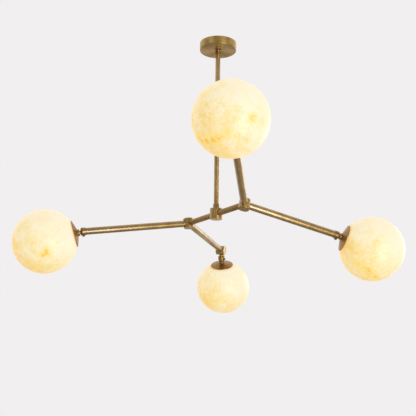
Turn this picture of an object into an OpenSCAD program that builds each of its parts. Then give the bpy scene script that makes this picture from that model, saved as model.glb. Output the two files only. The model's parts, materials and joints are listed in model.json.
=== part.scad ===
// Branch chandelier: four alabaster globes on brass arms, hung from a ceiling canopy.
// Millimetres. The origin is the middle of the ceiling plane, +Z is up, and the front is -Y.

/* [Ceiling] */
// Diameter of the ceiling canopy
canopy_d = 120; // [110:1:150]
// Height of the canopy
canopy_h = 26; // [24:1:40]
// Wall of the canopy
canopy_wall = 2.2; // [2:0.1:3]
// Radius of the canopy's softened lower edge
canopy_edge = 2; // [0.5:0.5:3]
// Width of the bracket strap
strap_w = 25; // [20:1:32]
// Thickness of the bracket strap
strap_t = 2.5; // [2:0.1:3]
// Length of the strap's turned ears
ear_h = 14; // [13:0.5:18]
// Distance between the two ceiling screws
ceiling_pitch = 70; // [64:1:80]
// Hole for a ceiling screw
ceiling_hole_d = 5.5; // [4.5:0.1:6.5]
// Thread of the canopy's side screws and of the earth screw
screw_d = 4; // [3:0.5:5]

/* [Downrod] */
// Ceiling to the middle of the centre hub
drop = 578; // [300:1:1200]
// Diameter of the downrod
rod_d = 16; // [15:0.5:18]
// Wall of the downrod
rod_wall = 1.5; // [1:0.1:2]
// Diameter of the ball on the rod's top
swivel_d = 20; // [18:0.5:22]
// Height of the ball's middle over the canopy's underside
swivel_rise = 5; // [4:0.5:6]
// Diameter of the neck under the ball
swivel_neck_d = 11; // [10.5:0.5:12]
// Diameter of the collar under the canopy
rod_collar_d = 19.5; // [19:0.5:22]
// Height of the collar under the canopy
rod_collar_h = 9; // [6:0.5:14]
// Diameter of the coupler at the rod's foot
coupler_d = 20; // [19:0.5:24]
// Height of the coupler over the centre hub
coupler_h = 15; // [12:0.5:24]

/* [Hubs and cross bar] */
// Diameter of the centre hub
centre_hub_d = 40; // [36:1:48]
// Height of the centre hub
centre_hub_h = 34; // [32:1:44]
// Diameter of an end hub and of the elbow
hub_d = 34; // [33:0.5:38]
// Height of an end hub and of the elbow
hub_h = 32; // [31:0.5:38]
// Thickness of a hub's screwed cap
cap_h = 3; // [2:0.5:4]
// Softened edge of hubs and caps
hub_edge = 1.2; // [0.4:0.2:1.6]
// Diameter of the cross bar
bar_d = 18; // [16:0.5:19]
// Wall of the cross bar
bar_wall = 2; // [1.6:0.1:3]
// Compass direction of the cross bar's right end
bar_yaw = -59; // [-80:1:-40]
// Centre hub to the left hub
bar_left = 175; // [120:1:240]
// Centre hub to the right hub
bar_right = 159; // [120:1:240]
// Turn of the left hub about the bar
left_hub_roll = 3; // [-3:0.5:6]
// Turn of the right hub about the bar
right_hub_roll = -16; // [-20:0.5:-12]
// Lean of the left hub along the bar
left_hub_lean = -6.5; // [-8:0.5:-4]
// Lean of the right hub along the bar
right_hub_lean = -5; // [-7:0.5:-3]

/* [Arms] */
// Diameter of an arm
arm_d = 22; // [20:0.5:22.5]
// Wall of an arm
arm_wall = 1.2; // [1:0.1:1.2]
// Compass direction of the left arm
left_yaw = 204.6; // [198:0.1:210]
// Climb of the left arm
left_pitch = -9.8; // [-10.1:0.1:-7]
// Left hub to the left globe's swivel
left_reach = 361.9; // [260:0.1:460]
// Compass direction of the far arm
far_yaw = 72.3; // [66:0.1:78]
// Climb of the far arm
far_pitch = -4; // [-6:0.5:-1]
// Left hub to the elbow
far_reach = 381; // [280:1:460]
// Compass direction of the right arm
right_yaw = 23.5; // [17:0.1:29]
// Climb of the right arm
right_pitch = -11.2; // [-14:0.1:-8]
// Right hub to the right globe's swivel
right_reach = 323.6; // [260:0.1:460]
// Compass direction of the near arm
near_yaw = -98; // [-104:1:-92]
// Climb of the near arm
near_pitch = 18.6; // [15:0.1:21]
// Right hub to the near globe's swivel
near_reach = 285; // [240:1:460]
// Turn of the elbow about the far arm
elbow_roll = 6.5; // [-30:0.5:30]
// Bend of the elbow
elbow_bend = 53.3; // [45:0.1:65]
// Elbow to the far globe's swivel
stem_reach = 34; // [32:0.5:60]
// Diameter of the turned stem under the elbow
stem_d = 14; // [12:0.5:15]

/* [Globe holders] */
// Diameter of the collar at the end of an arm
collar_d = 25; // [24.5:0.5:28]
// Diameter of the ball in the collar
joint_ball_d = 19.2; // [18:0.1:19.2]
// Length of the collar before the ball's middle
collar_front = 6; // [5:0.5:6.5]
// Length of the collar behind the ball's middle
collar_back = 7; // [6:0.5:12]
// Steepest tilt of a globe in its collar
tilt_max = 21; // [21:0.5:24]
// Diameter of the neck
neck_d = 21; // [18:0.5:22]
// Ball's middle to the top of the plate
neck_reach = 16.6; // [15:0.2:30]
// Diameter of the plate
plate_d = 84; // [80:1:100]
// Height of the plate's cone
plate_rise = 10; // [8:0.5:12]
// Thickness of the plate
plate_t = 2; // [1.5:0.1:2.4]
// Droop of the left globe against its arm
left_droop = 7.4; // [0:0.1:8]
// Sideways swing of the left globe against its arm
left_swing = -19.2; // [-19.4:0.1:19.4]
// Droop of the right globe against its arm
right_droop = 9.4; // [0:0.1:12]
// Sideways swing of the right globe against its arm
right_swing = -16.5; // [-17:0.1:17]
// Diameter of a thumb screw's head
thumb_d = 8; // [7:0.5:12]

/* [Globes and lamps] */
// Diameter of a globe
globe_d = 200; // [180:1:260]
// Wall of a globe
globe_wall = 5; // [4:0.5:8]
// Diameter of the hole in a globe
mouth_d = 60; // [56:1:64]
// Diameter of the flat land round the hole
land_d = 74; // [72:1:76]
// Diameter of a bulb
bulb_d = 45; // [35:1:48]
// Diameter of a lampholder
holder_d = 27; // [24:1:32]

/* [Hidden] */
$fn = 64;

// Clearances
run_fit = 0.05;     // all round a shaft that turns
ball_fit = 0.1;     // all round a ball in its seat
set_fit = 0.05;     // all round what is screwed or pushed home
face_gap = 0.05;    // between flat faces that turn on each other
cut = 1;            // how far a cutter runs past a surface
end_gap = 0.3;      // between a spigot's end and the floor of its bore
wire_d = 6;         // way for the wires
window_d = 8;       // way for the wires from the rod into the cross bar
thread_d = 10;      // thread that joins the brass pieces
small_edge = 0.8;   // softened edge of collars

// Ceiling
canopy_in_r = canopy_d / 2 - canopy_wall;
floor_z = -canopy_h + canopy_wall;
ball_z = -canopy_h + swivel_rise;
swivel_r = swivel_d / 2;
seat_flange = 6;
seat_wall = 2;
seat_spigot_r = swivel_r + seat_wall;
seat_r = seat_spigot_r + seat_flange;
seat_rise = 5;
seat_top_z = ball_z + seat_rise;
head_r = screw_d * 0.95;
head_land = 0.4;
head_h = canopy_wall - head_land;
screw_z = -ear_h * 0.6;
ear_t = 3;
ear_x = sqrt(pow(canopy_in_r - set_fit, 2) - pow(strap_w / 2, 2));
screw_len = 8;
screw_sink = 0.3;
earth_x = -18;
earth_head_h = 2.4;
block = [18, 14, 9];
block_x = swivel_r;
block_ways = 3;
block_wire_d = 3.2;
block_screw_d = 2.6;

// Downrod: the collar's top stays clear of the canopy while the rod swings by swing_max
swing_max = 15;
swing_gap = 0.6;
collar_drop = (swivel_rise + swing_gap + rod_collar_d / 2 * sin(swing_max)) / cos(swing_max);
collar_top_z = ball_z - collar_drop;
collar_web = 2;
rod_top_z = collar_top_z - collar_web;
rod_plug = 12;
coupler_socket = 10;
coupler_spigot_d = 14;
coupler_spigot = 7;
rod_foot_z = -drop + centre_hub_h / 2 + coupler_h - coupler_socket;

// Hubs
bar_end_gap = 4;
hub_cavity_r = 10;
hub_web = 3;
arm_slip = 0.2;
hub_r = hub_d / 2;
arm_sink = 0.3;     // depth of the flat under an arm's foot, past the hub's round
arm_face = sqrt(pow(hub_r, 2) - pow(arm_d / 2 + arm_slip, 2)) - arm_sink;
grub_d = 4;
grub_h = 5.5;
groove_depth = 0.9;
groove_w = 5;
bar_grub_x = (hub_cavity_r + hub_r) / 2;
centre_cavity_r = 12;
centre_grub_x = 15;
cap_spigot = 2;

// Arms and elbow
plug_h = 8;
plug_proud = 0.5;
plug_start = hub_cavity_r - plug_proud;
arm_in_r = arm_d / 2 - arm_wall;
spigot_d = 14;
spigot_end = 3;
elbow_grub_x = 8;
elbow_grub_d = 3;
elbow_groove_w = 4;
elbow_cavity = 5;
elbow_well_d = 10;
elbow_well_top = 4;
stem_start = 7;
stem_cup = 3;
stem_flare = 2;

// Globe holders, along +X from the middle of the collar's ball
ball_r = joint_ball_d / 2;
seat_ball_r = ball_r + ball_fit;
tube_setback = 4;
tube_end = -tube_setback;
mouth_r = sqrt(pow(seat_ball_r, 2) - pow(collar_front, 2));
tilt_gap = 0.35;
neck_in_d = 2 * ((mouth_r - tilt_gap) * cos(tilt_max) - collar_front * sin(tilt_max));
neck_start = (collar_front + tilt_gap + neck_d / 2 * sin(tilt_max)) / cos(tilt_max);
seat_x = neck_reach + plate_rise;
ring_t = 1;
ring_inset = 0.2;
land_x = seat_x + ring_t;
land_r = land_d / 2;
globe_r = globe_d / 2;
globe_x = land_x + sqrt(pow(globe_r, 2) - pow(land_r, 2));
sleeve_r = mouth_d / 2 - set_fit;
sleeve_wall = 3;
sleeve_in_r = sleeve_r - sleeve_wall;
sleeve_h = 9;
plate_spigot_r = sleeve_in_r - set_fit;
plate_spigot_wall = 2.4;
plate_spigot_h = 6;
plate_step = 0.5;
rim_edge = 0.4;
land_gap = 0.4;
neck_edge = 1.5;
neck_thread_end = seat_x;
holder_x = neck_reach + plate_t;
holder_boss = 2;
holder_edge = 2;
socket_depth = 21;
socket_slack = 0.5;
holder_len = 32;
bulb_reach = 64;        // lampholder's foot to the bulb's middle
bulb_x = holder_x + bulb_reach;
bulb_base_r = 7;
bulb_bore_r = 5;
bulb_wall = 1;
bulb_waist = 0.62;      // of the bulb's radius, where its neck begins
bulb_neck_gap = 2;      // between the lampholder's end and the bulb's neck
thumb_gap = 0.4;
thumb_h = 3.2;
thumb_edge = 1;
thumb_angle = 0;        // the screw points down
far_thumb_angle = -75;  // the elbow's screw points sideways

brass = [0.68, 0.55, 0.36];
dark_brass = [0.55, 0.43, 0.26];
steel = [0.72, 0.72, 0.74];
alabaster = [0.99, 0.93, 0.78];
ceramic = [0.94, 0.93, 0.9];
plastic = [0.9, 0.9, 0.86];

// Points of an arc about [x, y], from angle a to angle b
function arc(x, y, r, a, b, n = 6) =
    [for (i = [0:n]) let (t = a + (b - a) * i / n) [x + r * cos(t), y + r * sin(t)]];

// Points of a quarter round at the foot or the top of a turned piece of radius r, square where edge is 0
function foot(r, edge) = edge > 0 ? arc(r - edge, edge, edge, -90, 0) : [[r, 0]];
function top(r, h, edge) = edge > 0 ? arc(r - edge, h - edge, edge, 0, 90) : [[r, h]];

// A round piece that stands on the origin, with a quarter round at its foot, its top or both
module drum(d, h, foot_edge = 0, top_edge = 0)
    rotate_extrude() polygon(concat([[0, 0]], foot(d / 2, foot_edge), top(d / 2, h, top_edge), [[0, h]]));

// A turned piece about +X: points are [radius, x]
module turned(points) rotate([0, 90, 0]) rotate_extrude($fn = 96) polygon(points);

// The same piece laid along +X, from one place to another
module laid_drum(d, from, to, foot_edge = 0, top_edge = 0)
    translate([from, 0, 0]) rotate([0, 90, 0]) drum(d, to - from, foot_edge, top_edge);

// A ball with its poles on X, as every turned piece has its axis
module ball(r) rotate([0, 90, 0]) sphere(r = r);

// A straight round bar or bore along +X
module along(d, from, to) translate([from, 0, 0]) rotate([0, 90, 0]) cylinder(d = d, h = to - from);

// +X of what follows points in a compass direction and climbs
module aim(yaw, pitch) rotate([0, -pitch, yaw]) children();

// Frames: the bar at the centre hub, and each end hub turned on the bar
module at_bar() translate([0, 0, -drop]) rotate([0, 0, bar_yaw]) children();
module at_left_end() at_bar() translate([-bar_left, 0, 0]) children();
module at_right_end() at_bar() translate([bar_right, 0, 0]) children();
module at_left_hub() at_left_end() rotate([left_hub_roll, 0, 0]) children();
module at_right_hub() at_right_end() rotate([right_hub_roll, 0, 0]) children();
module left_hub_tilt() at_left_hub() rotate([0, left_hub_lean, 0]) children();
module right_hub_tilt() at_right_hub() rotate([0, right_hub_lean, 0]) children();

// Frames: each arm from the middle of its hub, with +X along the arm; compass() undoes the bar's turn
module compass() rotate([0, 0, -bar_yaw]) children();
module on_left_arm() at_left_end() compass() aim(left_yaw, left_pitch) children();
module on_far_arm() at_left_end() compass() aim(far_yaw, far_pitch) children();
module on_right_arm() at_right_end() compass() aim(right_yaw, right_pitch) children();
module on_near_arm() at_right_end() compass() aim(near_yaw, near_pitch) children();
module at_elbow() on_far_arm() translate([far_reach, 0, 0]) rotate([elbow_roll, 0, 0]) children();
module on_stem() at_elbow() rotate([0, elbow_bend, 0]) children();

// Frames: the collar's ball at the end of each arm, and the globe that droops and swings from it
module left_end() on_left_arm() translate([left_reach, 0, 0]) children();
module far_end() on_stem() translate([stem_reach, 0, 0]) children();
module right_end() on_right_arm() translate([right_reach, 0, 0]) children();
module near_end() on_near_arm() translate([near_reach, 0, 0]) children();
module left_hang() left_end() rotate([0, left_droop, left_swing]) children();
module right_hang() right_end() rotate([0, right_droop, right_swing]) children();

// Ceiling ---------------------------------------------------------------------------------------

module ceiling_bracket() {
    color(steel) difference() {
        union() {
            translate([-ear_x, -strap_w / 2, -strap_t]) cube([2 * ear_x, strap_w, strap_t]);
            for (x = [-ear_x, ear_x - ear_t])
                translate([x, -strap_w / 2, -ear_h]) cube([ear_t, strap_w, ear_h]);
        }
        for (side = [-1, 1])
            translate([side * ceiling_pitch / 2, 0, -strap_t - cut])
                cylinder(d = ceiling_hole_d, h = strap_t + 2 * cut);
        translate([0, 0, screw_z]) along(screw_d + 2 * set_fit, -canopy_d / 2, canopy_d / 2);
        translate([earth_x, 0, -strap_t - cut]) cylinder(d = screw_d + 2 * set_fit, h = strap_t + 2 * cut);
    }
}

// Both side screws' places: each points in from just under the canopy's outer surface
module at_side_screws() {
    for (turn = [0, 180])
        rotate([0, 0, turn]) translate([canopy_d / 2 - screw_sink, 0, screw_z])
            rotate([0, -90, 0]) children();
}

module bracket_screws() {
    color(dark_brass) at_side_screws() {
        cylinder(r1 = head_r, r2 = screw_d / 2, h = head_h);
        translate([0, 0, head_h]) cylinder(d = screw_d, h = screw_len - head_h);
    }
}

module earth_screw() {
    color("green") translate([earth_x, 0, 0]) {
        translate([0, 0, -strap_t]) cylinder(d = screw_d, h = strap_t - face_gap);
        translate([0, 0, -strap_t - earth_head_h]) cylinder(d = 2 * screw_d, h = earth_head_h);
    }
}

module terminal_block() {
    pitch = block.x / block_ways;
    color(plastic) translate([block_x, -block.y / 2, -strap_t - block.z]) difference() {
        cube(block);
        for (i = [0:block_ways - 1]) translate([pitch * (i + 0.5), 0, 0]) {
            translate([0, -cut, block.z / 2]) rotate([-90, 0, 0])
                cylinder(d = block_wire_d, h = block.y + 2 * cut);
            for (y = [block.y / 4, block.y * 3 / 4])
                translate([0, y, -cut]) cylinder(d = block_screw_d, h = block.z / 2 + cut);
        }
    }
}

module canopy() {
    e = canopy_edge;
    r = canopy_d / 2;
    profile = concat(
        [[seat_spigot_r + run_fit, -canopy_h]],
        arc(r - e, -canopy_h + e, e, -90, 0),
        [[r, 0], [canopy_in_r, 0], [canopy_in_r, floor_z], [seat_spigot_r + run_fit, floor_z]]);
    color(brass) difference() {
        rotate_extrude($fn = 128) polygon(profile);
        at_side_screws() {
            cylinder(r1 = head_r + set_fit, r2 = screw_d / 2 + set_fit, h = head_h);
            cylinder(d = screw_d + 2 * set_fit, h = canopy_wall + cut);
            translate([0, 0, -cut]) cylinder(r = head_r + set_fit, h = cut);
        }
    }
}

module swivel_seat() {
    color(dark_brass) difference() {
        union() {
            translate([0, 0, -canopy_h]) cylinder(r = seat_spigot_r, h = canopy_wall + cut);
            translate([0, 0, floor_z + face_gap]) cylinder(r = seat_r, h = seat_top_z - floor_z - face_gap);
        }
        translate([0, 0, ball_z]) sphere(r = swivel_r + ball_fit);
        translate([0, 0, ball_z]) cylinder(r = swivel_r + ball_fit, h = seat_top_z - ball_z + cut);
    }
}

module swivel_ball() {
    color(brass) difference() {
        union() {
            translate([0, 0, ball_z]) sphere(d = swivel_d);
            translate([0, 0, rod_top_z]) cylinder(d = swivel_neck_d, h = ball_z - rod_top_z);
            translate([0, 0, rod_top_z - rod_plug]) cylinder(d = thread_d, h = rod_plug + cut);
        }
        translate([0, 0, rod_top_z - rod_plug - cut])
            cylinder(d = wire_d, h = ball_z + swivel_d - rod_top_z + rod_plug);
    }
}

module rod_collar() {
    color(brass) translate([0, 0, collar_top_z - rod_collar_h]) difference() {
        drum(rod_collar_d, rod_collar_h, top_edge = small_edge);
        translate([0, 0, -cut]) cylinder(d = swivel_neck_d + 2 * set_fit, h = rod_collar_h + 2 * cut);
        translate([0, 0, -cut]) cylinder(d = rod_d + 2 * set_fit, h = rod_collar_h - collar_web + cut);
    }
}

// Downrod ---------------------------------------------------------------------------------------

module downrod() {
    length = rod_top_z - rod_foot_z;
    color(brass) translate([0, 0, rod_foot_z]) difference() {
        cylinder(d = rod_d, h = length);
        translate([0, 0, -cut]) cylinder(d = rod_d - 2 * rod_wall, h = length - rod_plug + cut);
        cylinder(d = thread_d + 2 * set_fit, h = length + cut);
    }
}

module rod_coupler() {
    color(brass) translate([0, 0, -drop + centre_hub_h / 2]) difference() {
        union() {
            drum(coupler_d, coupler_h, top_edge = small_edge);
            translate([0, 0, -coupler_spigot]) cylinder(d = coupler_spigot_d, h = coupler_spigot + cut);
        }
        translate([0, 0, coupler_h - coupler_socket])
            cylinder(d = rod_d + 2 * set_fit, h = coupler_socket + cut);
        translate([0, 0, -coupler_spigot - cut]) cylinder(d = thread_d, h = coupler_spigot + coupler_h);
    }
}

// Hubs ------------------------------------------------------------------------------------------

// A hub's body stands on its cap, and the pair is centred on the origin
module hub_body(d, h) translate([0, 0, -h / 2 + cap_h]) drum(d, h - cap_h, top_edge = hub_edge);

module hub_cap(d, h, cavity_r) translate([0, 0, -h / 2]) {
    drum(d, cap_h, foot_edge = hub_edge);
    cylinder(r = cavity_r - set_fit, h = cap_h + cap_spigot);
}

module centre_hub() {
    h = centre_hub_h;
    color(brass) at_bar() difference() {
        hub_body(centre_hub_d, h);
        along(bar_d + 2 * set_fit, -centre_hub_d, centre_hub_d);
        translate([0, 0, h / 2 - coupler_spigot - end_gap])
            cylinder(d = coupler_spigot_d + 2 * set_fit, h = h);
        cylinder(d = window_d, h = h);
        translate([0, 0, -h]) cylinder(r = centre_cavity_r, h = h - bar_d / 2 + cut);
        for (x = [-centre_grub_x, centre_grub_x])
            translate([x, 0, 0]) cylinder(d = grub_d + 2 * set_fit, h = h);
    }
}

module centre_hub_cap() color(dark_brass) at_bar() hub_cap(centre_hub_d, centre_hub_h, centre_cavity_r);

module cross_bar() {
    from = -bar_left + bar_end_gap;
    to = bar_right - bar_end_gap;
    color(brass) at_bar() difference() {
        along(bar_d, from, to);
        along(bar_d - 2 * bar_wall, from - cut, to + cut);
        cylinder(d = window_d, h = bar_d);
        for (x = [-bar_left + bar_grub_x, bar_right - bar_grub_x]) difference() {
            along(bar_d + cut, x - groove_w / 2, x + groove_w / 2);
            along(bar_d - 2 * groove_depth, x - groove_w, x + groove_w);
        }
    }
}

module bar_screws() {
    color(steel) at_bar() for (x = [-centre_grub_x, centre_grub_x])
        translate([x, 0, bar_d / 2]) cylinder(d = grub_d, h = grub_h);
}

// An end hub is hollow, bored for the bar on one side, and drilled and faced for the foot of each arm
module hub_cavity_cut()
    translate([0, 0, -hub_h]) cylinder(r = hub_cavity_r, h = hub_h * 3 / 2 - hub_web);

module arm_foot_cut() {
    along(arm_d + 2 * arm_slip, arm_face, 2 * hub_r);
    along(thread_d + 2 * set_fit, hub_cavity_r / 2, hub_r);
}

module bar_foot_cut(side) {
    along(bar_d + 2 * run_fit, side > 0 ? 0 : -2 * hub_r, side > 0 ? 2 * hub_r : 0);
    translate([side * bar_grub_x, 0, 0]) cylinder(d = grub_d + 2 * set_fit, h = hub_h);
}

module hub_screw(side) {
    tip_z = bar_d / 2 - groove_depth + face_gap;
    translate([side * bar_grub_x, 0, tip_z]) cylinder(d = grub_d, h = grub_h);
}

module left_hub() {
    color(brass) difference() {
        left_hub_tilt() hub_body(hub_d, hub_h);
        left_hub_tilt() hub_cavity_cut();
        at_left_hub() bar_foot_cut(1);
        on_left_arm() arm_foot_cut();
        on_far_arm() arm_foot_cut();
    }
}

module left_hub_cap() color(dark_brass) left_hub_tilt() hub_cap(hub_d, hub_h, hub_cavity_r);

module left_hub_screw() color(steel) at_left_hub() hub_screw(1);

module right_hub() {
    color(brass) difference() {
        right_hub_tilt() hub_body(hub_d, hub_h);
        right_hub_tilt() hub_cavity_cut();
        at_right_hub() bar_foot_cut(-1);
        on_right_arm() arm_foot_cut();
        on_near_arm() arm_foot_cut();
    }
}

module right_hub_cap() color(dark_brass) right_hub_tilt() hub_cap(hub_d, hub_h, hub_cavity_r);

module right_hub_screw() color(steel) at_right_hub() hub_screw(-1);

// Arms ------------------------------------------------------------------------------------------

// The tube has a brazed plug at its foot, with the thread that screws into the hub
module arm(to) {
    difference() {
        union() {
            along(arm_d, arm_face, to);
            along(thread_d, plug_start, arm_face + cut);
        }
        along(2 * arm_in_r, arm_face + plug_h, to + cut);
        along(wire_d, 0, arm_face + plug_h + cut);
    }
}

module left_arm() color(brass) on_left_arm() arm(left_reach + tube_end);

module right_arm() color(brass) on_right_arm() arm(right_reach + tube_end);

module near_arm() color(brass) on_near_arm() arm(near_reach + tube_end);

// The far arm ends in a turned spigot, on which the elbow turns
module far_arm() {
    end = far_reach - arm_face - face_gap;
    groove = far_reach - elbow_grub_x;
    color(brass) on_far_arm() difference() {
        union() {
            along(arm_d, arm_face, end);
            along(thread_d, plug_start, arm_face + cut);
            along(spigot_d, end - cut, far_reach - spigot_end);
        }
        along(2 * arm_in_r, arm_face + plug_h, end - plug_h);
        along(wire_d, 0, far_reach);
        difference() {
            along(spigot_d + cut, groove - elbow_groove_w / 2, groove + elbow_groove_w / 2);
            along(spigot_d - 2 * groove_depth, groove - elbow_groove_w, groove + elbow_groove_w);
        }
    }
}

// Elbow -----------------------------------------------------------------------------------------

module elbow_hub() {
    low = -hub_h / 2 + cap_h;
    color(brass) at_elbow() difference() {
        rotate([-90, 0, 0]) hub_body(hub_d, hub_h);
        along(arm_d + 2 * arm_slip, -2 * hub_r, -arm_face);
        along(spigot_d + 2 * run_fit, -hub_r, -spigot_end + end_gap);
        along(wire_d, -hub_r, 0);
        rotate([0, elbow_bend, 0]) {
            along(stem_d + 2 * set_fit, stem_start - end_gap, 2 * hub_r);
            along(wire_d, 0, hub_r);
        }
        rotate([-90, 0, 0]) {
            translate([0, 0, low - cut]) cylinder(r = hub_cavity_r, h = elbow_cavity + cut);
            translate([0, 0, low]) cylinder(d = elbow_well_d, h = elbow_well_top - low);
        }
        translate([-elbow_grub_x, 0, 0]) cylinder(d = elbow_grub_d + 2 * set_fit, h = hub_d);
    }
}

module elbow_cap() color(dark_brass) at_elbow() rotate([-90, 0, 0]) hub_cap(hub_d, hub_h, hub_cavity_r);

module elbow_screw() {
    tip_z = spigot_d / 2 - groove_depth + face_gap;
    color(steel) at_elbow() translate([-elbow_grub_x, 0, tip_z]) cylinder(d = elbow_grub_d, h = grub_h);
}

// A turned shank in the elbow, widening to a cup that the collar slips over
module elbow_stem() {
    cup_back = stem_reach - collar_back - stem_cup;
    cup_front = stem_reach + tube_end;
    color(brass) on_stem() difference() {
        turned([
            [0, stem_start], [stem_d / 2, stem_start], [stem_d / 2, cup_back - stem_flare],
            [arm_d / 2, cup_back], [arm_d / 2, cup_front], [0, cup_front]]);
        along(wire_d, 0, stem_reach);
        translate([stem_reach, 0, 0]) ball(seat_ball_r);
    }
}

// Globe holders ---------------------------------------------------------------------------------

module collar(angle) {
    difference() {
        laid_drum(collar_d, -collar_back, collar_front, small_edge, small_edge);
        along(arm_d + 2 * set_fit, -collar_back - cut, tube_end);
        along(2 * seat_ball_r, tube_end - cut, 0);
        ball(seat_ball_r);
        along(2 * mouth_r, 0, collar_front + cut);
        rotate([angle, 0, 0]) rotate([180, 0, 0]) cylinder(d = screw_d + 2 * set_fit, h = collar_d);
    }
}

// The screw stands under the collar and is turned about it by an angle
module thumb_screw(angle) {
    base = collar_d / 2 + thumb_gap;
    rotate([angle, 0, 0]) rotate([180, 0, 0]) {
        translate([0, 0, seat_ball_r]) cylinder(d = screw_d, h = base - seat_ball_r + cut);
        translate([0, 0, base]) drum(thumb_d, thumb_h, thumb_edge, thumb_edge);
    }
}

module neck() {
    difference() {
        union() {
            ball(ball_r);
            along(neck_in_d, 0, neck_start + cut);
            laid_drum(neck_d, neck_start, neck_reach, foot_edge = neck_edge);
            along(thread_d, neck_reach - cut, neck_thread_end);
        }
        along(wire_d, -joint_ball_d, neck_thread_end + cut);
    }
}

module plate() {
    hole_r = thread_d / 2 + set_fit;
    flat_r = neck_d / 2 + plate_step;
    r = plate_d / 2;
    slope = plate_rise / (r - flat_r);
    inner_r = plate_spigot_r - plate_spigot_wall;
    turned([
        [hole_r, neck_reach], [flat_r, neck_reach],
        [r - rim_edge, seat_x - slope * rim_edge], [r, seat_x + rim_edge], [r, seat_x + plate_t],
        [land_r + land_gap, seat_x], [plate_spigot_r, seat_x],
        [plate_spigot_r, seat_x + plate_spigot_h], [inner_r, seat_x + plate_spigot_h],
        [inner_r, holder_x + slope * (inner_r - flat_r)], [flat_r, holder_x], [hole_r, holder_x]]);
}

module globe_ring() {
    flange_r = land_r - ring_inset;
    turned([
        [sleeve_in_r, seat_x], [flange_r, seat_x], [flange_r, land_x], [sleeve_r, land_x],
        [sleeve_r, land_x + sleeve_h], [sleeve_in_r, land_x + sleeve_h]]);
}

module globe() {
    difference() {
        translate([globe_x, 0, 0]) ball(globe_r, $fn = 96);
        translate([globe_x, 0, 0]) ball(globe_r - globe_wall, $fn = 96);
        along(mouth_d, 0, globe_x);
        along(globe_d, 0, land_x);
    }
}

// The holder screws onto the neck's thread and clamps the plate
module lampholder() {
    end = holder_x + holder_len;
    shoulder = holder_x + holder_boss;
    difference() {
        union() {
            along(neck_d, holder_x, shoulder + cut);
            laid_drum(holder_d, shoulder, end, foot_edge = holder_edge);
        }
        along(thread_d + 2 * set_fit, holder_x - cut, neck_thread_end + end_gap);
        along(wire_d, holder_x, end);
        along(2 * (bulb_base_r + socket_slack), end - socket_depth, end + cut);
    }
}

module bulb() {
    r = bulb_d / 2;
    waist_r = r * bulb_waist;
    base_x = holder_x + holder_len - socket_depth + end_gap;
    shoulder = holder_x + holder_len + bulb_neck_gap;
    neck_x = bulb_x - sqrt(pow(r, 2) - pow(waist_r, 2));
    difference() {
        union() {
            along(2 * bulb_base_r, base_x, neck_x);
            translate([bulb_x, 0, 0]) ball(r);
            translate([shoulder, 0, 0]) rotate([0, 90, 0])
                cylinder(r1 = bulb_base_r, r2 = waist_r, h = neck_x - shoulder);
        }
        translate([bulb_x, 0, 0]) ball(r - bulb_wall);
        along(2 * bulb_bore_r, base_x - cut, bulb_x);
    }
}

module left_collar() color(brass) left_end() collar(thumb_angle);
module left_thumb_screw() color(dark_brass) left_end() thumb_screw(thumb_angle);
module left_neck() color(brass) left_hang() neck();
module left_plate() color(brass) left_hang() plate();
module left_globe_ring() color(dark_brass) left_hang() globe_ring();
module left_globe() color(alabaster) left_hang() globe();
module left_lampholder() color(ceramic) left_hang() lampholder();
module left_bulb() color(ceramic) left_hang() bulb();

module far_collar() color(brass) far_end() collar(far_thumb_angle);
module far_thumb_screw() color(dark_brass) far_end() thumb_screw(far_thumb_angle);
module far_neck() color(brass) far_end() neck();
module far_plate() color(brass) far_end() plate();
module far_globe_ring() color(dark_brass) far_end() globe_ring();
module far_globe() color(alabaster) far_end() globe();
module far_lampholder() color(ceramic) far_end() lampholder();
module far_bulb() color(ceramic) far_end() bulb();

module right_collar() color(brass) right_end() collar(thumb_angle);
module right_thumb_screw() color(dark_brass) right_end() thumb_screw(thumb_angle);
module right_neck() color(brass) right_hang() neck();
module right_plate() color(brass) right_hang() plate();
module right_globe_ring() color(dark_brass) right_hang() globe_ring();
module right_globe() color(alabaster) right_hang() globe();
module right_lampholder() color(ceramic) right_hang() lampholder();
module right_bulb() color(ceramic) right_hang() bulb();

module near_collar() color(brass) near_end() collar(thumb_angle);
module near_thumb_screw() color(dark_brass) near_end() thumb_screw(thumb_angle);
module near_neck() color(brass) near_end() neck();
module near_plate() color(brass) near_end() plate();
module near_globe_ring() color(dark_brass) near_end() globe_ring();
module near_globe() color(alabaster) near_end() globe();
module near_lampholder() color(ceramic) near_end() lampholder();
module near_bulb() color(ceramic) near_end() bulb();

ceiling_bracket();
bracket_screws();
earth_screw();
terminal_block();
canopy();
swivel_seat();
swivel_ball();
rod_collar();
downrod();
rod_coupler();
centre_hub();
centre_hub_cap();
cross_bar();
bar_screws();
left_hub();
left_hub_cap();
left_hub_screw();
left_arm();
far_arm();
right_hub();
right_hub_cap();
right_hub_screw();
right_arm();
near_arm();
elbow_hub();
elbow_cap();
elbow_screw();
elbow_stem();
left_collar();
left_thumb_screw();
left_neck();
left_plate();
left_globe_ring();
left_globe();
left_lampholder();
left_bulb();
far_collar();
far_thumb_screw();
far_neck();
far_plate();
far_globe_ring();
far_globe();
far_lampholder();
far_bulb();
right_collar();
right_thumb_screw();
right_neck();
right_plate();
right_globe_ring();
right_globe();
right_lampholder();
right_bulb();
near_collar();
near_thumb_screw();
near_neck();
near_plate();
near_globe_ring();
near_globe();
near_lampholder();
near_bulb();
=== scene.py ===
"""The look of the branch chandelier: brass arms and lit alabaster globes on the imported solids.

Sizes and places are in millimetres and become metres where a piece is put in its place.
+Z is up, the front is -Y, and the origin is the middle of the ceiling plane.
"""
import json
import math
from functools import partial

import bmesh
import bpy
from mathutils import Matrix, Vector


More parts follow.
